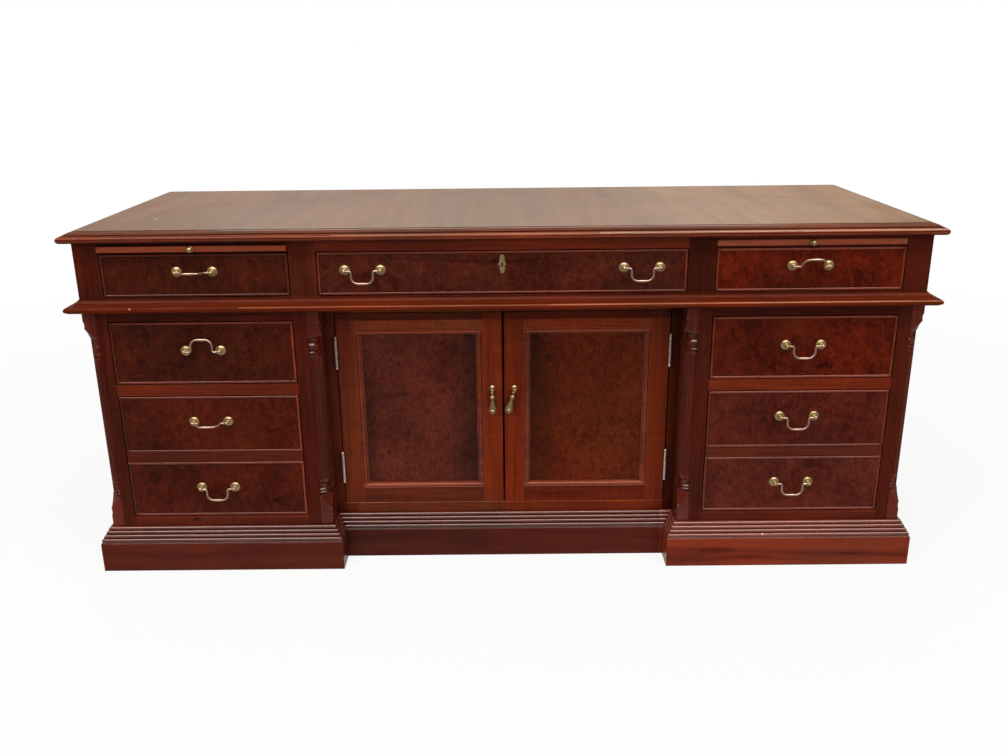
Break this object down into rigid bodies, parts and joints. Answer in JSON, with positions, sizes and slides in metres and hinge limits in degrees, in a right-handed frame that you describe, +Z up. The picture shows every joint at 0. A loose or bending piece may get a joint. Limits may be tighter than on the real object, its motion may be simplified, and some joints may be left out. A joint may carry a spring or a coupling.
{
  "type": "credenza",
  "caption": "Breakfront wooden credenza with frieze drawers, writing slides, drawer pedestals with fluted corner columns and a recessed two-door cupboard.",
  "frame": {"origin": "on the floor under the middle of the bounding box", "axes": "+X to the right as seen from the front, +Y to the back, +Z up"},
  "size_m": [1.836, 0.6306, 0.78],
  "materials": {
    "mahogany": "dark red mahogany, satin lacquer",
    "burl_veneer": "figured mahogany veneer under gloss lacquer",
    "inner_wood": "plain sealed hardwood and ply inside the case",
    "brass": "aged brass, darkened in the hollows"
  },
  "bodies": {
    "case": {"top_board": "burl_veneer", "top_moulding": "mahogany", "frieze_case": "mahogany", "frieze_frame": "mahogany", "waist_moulding": "mahogany", "pedestal_cases": "mahogany", "pedestal_frames": "mahogany", "corner_columns": "mahogany", "cupboard_frame": "mahogany", "cupboard_shelf": "mahogany", "shelf_pins": "brass", "back_panels": "inner_wood", "base_moulding": "mahogany", "plinth": "mahogany", "drawer_runners": "inner_wood", "frame_hinge_leaves": "brass"},
    "left_slide": {"left_writing_slide": "mahogany", "left_slide_knob": "brass"},
    "right_slide": {"right_writing_slide": "mahogany", "right_slide_knob": "brass"},
    "left_frieze_drawer": {"left_frieze_front": "burl_veneer", "left_frieze_box": "inner_wood", "left_frieze_posts": "brass"},
    "centre_frieze_drawer": {"centre_frieze_front": "burl_veneer", "centre_frieze_box": "inner_wood", "centre_frieze_posts": "brass", "centre_lock": "brass"},
    "right_frieze_drawer": {"right_frieze_front": "burl_veneer", "right_frieze_box": "inner_wood", "right_frieze_posts": "brass"},
    "left_drawer": {"left_drawer_front": "burl_veneer", "left_drawer_box": "inner_wood", "left_drawer_posts": "brass"},
    "right_drawer": {"right_drawer_front": "burl_veneer", "right_drawer_box": "inner_wood", "right_drawer_posts": "brass"},
    "left_file_drawer": {"left_file_front": "burl_veneer", "left_file_box": "inner_wood", "left_file_posts": "brass"},
    "right_file_drawer": {"right_file_front": "burl_veneer", "right_file_box": "inner_wood", "right_file_posts": "brass"},
    "left_door": {"left_door_frame": "mahogany", "left_door_panel": "burl_veneer", "left_door_brass": "brass"},
    "right_door": {"right_door_frame": "mahogany", "right_door_panel": "burl_veneer", "right_door_brass": "brass"},
    "left_drop": {"left_drop_pull": "brass"},
    "right_drop": {"right_drop_pull": "brass"},
    "left_frieze_bail": {"left_frieze_bail": "brass"},
    "centre_left_bail": {"centre_left_bail": "brass"},
    "centre_right_bail": {"centre_right_bail": "brass"},
    "right_frieze_bail": {"right_frieze_bail": "brass"},
    "left_drawer_bail": {"left_drawer_bail": "brass"},
    "right_drawer_bail": {"right_drawer_bail": "brass"},
    "left_upper_file_bail": {"left_upper_file_bail": "brass"},
    "left_lower_file_bail": {"left_lower_file_bail": "brass"},
    "right_upper_file_bail": {"right_upper_file_bail": "brass"},
    "right_lower_file_bail": {"right_lower_file_bail": "brass"}
  },
  "joints": [
    {"name": "left_frieze_drawer_travel", "type": "slide", "parent": "case", "child": "left_frieze_drawer", "axis": [0, -1, 0], "range_m": [0, 0.36]},
    {"name": "centre_frieze_drawer_travel", "type": "slide", "parent": "case", "child": "centre_frieze_drawer", "axis": [0, -1, 0], "range_m": [0, 0.36]},
    {"name": "right_frieze_drawer_travel", "type": "slide", "parent": "case", "child": "right_frieze_drawer", "axis": [0, -1, 0], "range_m": [0, 0.36]},
    {"name": "left_drawer_travel", "type": "slide", "parent": "case", "child": "left_drawer", "axis": [0, -1, 0], "range_m": [0, 0.38]},
    {"name": "right_drawer_travel", "type": "slide", "parent": "case", "child": "right_drawer", "axis": [0, -1, 0], "range_m": [0, 0.38]},
    {"name": "left_file_drawer_travel", "type": "slide", "parent": "case", "child": "left_file_drawer", "axis": [0, -1, 0], "range_m": [0, 0.42]},
    {"name": "right_file_drawer_travel", "type": "slide", "parent": "case", "child": "right_file_drawer", "axis": [0, -1, 0], "range_m": [0, 0.42]},
    {"name": "left_slide_travel", "type": "slide", "parent": "case", "child": "left_slide", "axis": [0, -1, 0], "range_m": [-0.008, 0.3]},
    {"name": "right_slide_travel", "type": "slide", "parent": "case", "child": "right_slide", "axis": [0, -1, 0], "range_m": [0, 0.308]},
    {"name": "left_door_hinge", "type": "hinge", "parent": "case", "child": "left_door", "pos_m": [-0.3683, -0.22028, 0.3555], "axis": [0, 0, -1], "range_deg": [0, 95]},
    {"name": "right_door_hinge", "type": "hinge", "parent": "case", "child": "right_door", "pos_m": [0.3683, -0.22028, 0.3555], "axis": [0, 0, 1], "range_deg": [0, 95]},
    {"name": "left_frieze_bail_swing", "type": "hinge", "parent": "left_frieze_drawer", "child": "left_frieze_bail", "pos_m": [-0.6425, -0.28568, 0.693], "axis": [-1, 0, 0], "range_deg": [-118, 102]},
    {"name": "centre_left_bail_swing", "type": "hinge", "parent": "centre_frieze_drawer", "child": "centre_left_bail", "pos_m": [-0.2915, -0.28568, 0.693], "axis": [-1, 0, 0], "range_deg": [-20, 200]},
    {"name": "centre_right_bail_swing", "type": "hinge", "parent": "centre_frieze_drawer", "child": "centre_right_bail", "pos_m": [0.2915, -0.28568, 0.693], "axis": [-1, 0, 0], "range_deg": [-20, 200]},
    {"name": "right_frieze_bail_swing", "type": "hinge", "parent": "right_frieze_drawer", "child": "right_frieze_bail", "pos_m": [0.6425, -0.28568, 0.693], "axis": [-1, 0, 0], "range_deg": [-154, 66]},
    {"name": "left_drawer_bail_swing", "type": "hinge", "parent": "left_drawer", "child": "left_drawer_bail", "pos_m": [-0.6425, -0.28568, 0.52], "axis": [-1, 0, 0], "range_deg": [-204, 16]},
    {"name": "right_drawer_bail_swing", "type": "hinge", "parent": "right_drawer", "child": "right_drawer_bail", "pos_m": [0.6425, -0.28568, 0.52], "axis": [-1, 0, 0], "range_deg": [-20, 200]},
    {"name": "left_upper_file_bail_swing", "type": "hinge", "parent": "left_file_drawer", "child": "left_upper_file_bail", "pos_m": [-0.6425, -0.28568, 0.3565], "axis": [-1, 0, 0], "range_deg": [-114, 106]},
    {"name": "left_lower_file_bail_swing", "type": "hinge", "parent": "left_file_drawer", "child": "left_lower_file_bail", "pos_m": [-0.6425, -0.28568, 0.198], "axis": [-1, 0, 0], "range_deg": [-20, 200]},
    {"name": "right_upper_file_bail_swing", "type": "hinge", "parent": "right_file_drawer", "child": "right_upper_file_bail", "pos_m": [0.6425, -0.28568, 0.3565], "axis": [-1, 0, 0], "range_deg": [-20, 200]},
    {"name": "right_lower_file_bail_swing", "type": "hinge", "parent": "right_file_drawer", "child": "right_lower_file_bail", "pos_m": [0.6425, -0.28568, 0.198], "axis": [-1, 0, 0], "range_deg": [-20, 200]},
    {"name": "left_drop_swing", "type": "hinge", "parent": "left_door", "child": "left_drop", "pos_m": [-0.0248, -0.22668, 0.4065], "axis": [0, 1, 0], "range_deg": [-20, 40]},
    {"name": "right_drop_swing", "type": "hinge", "parent": "right_door", "child": "right_drop", "pos_m": [0.0248, -0.22668, 0.4065], "axis": [0, 1, 0], "range_deg": [-55, 5]}
  ]
}
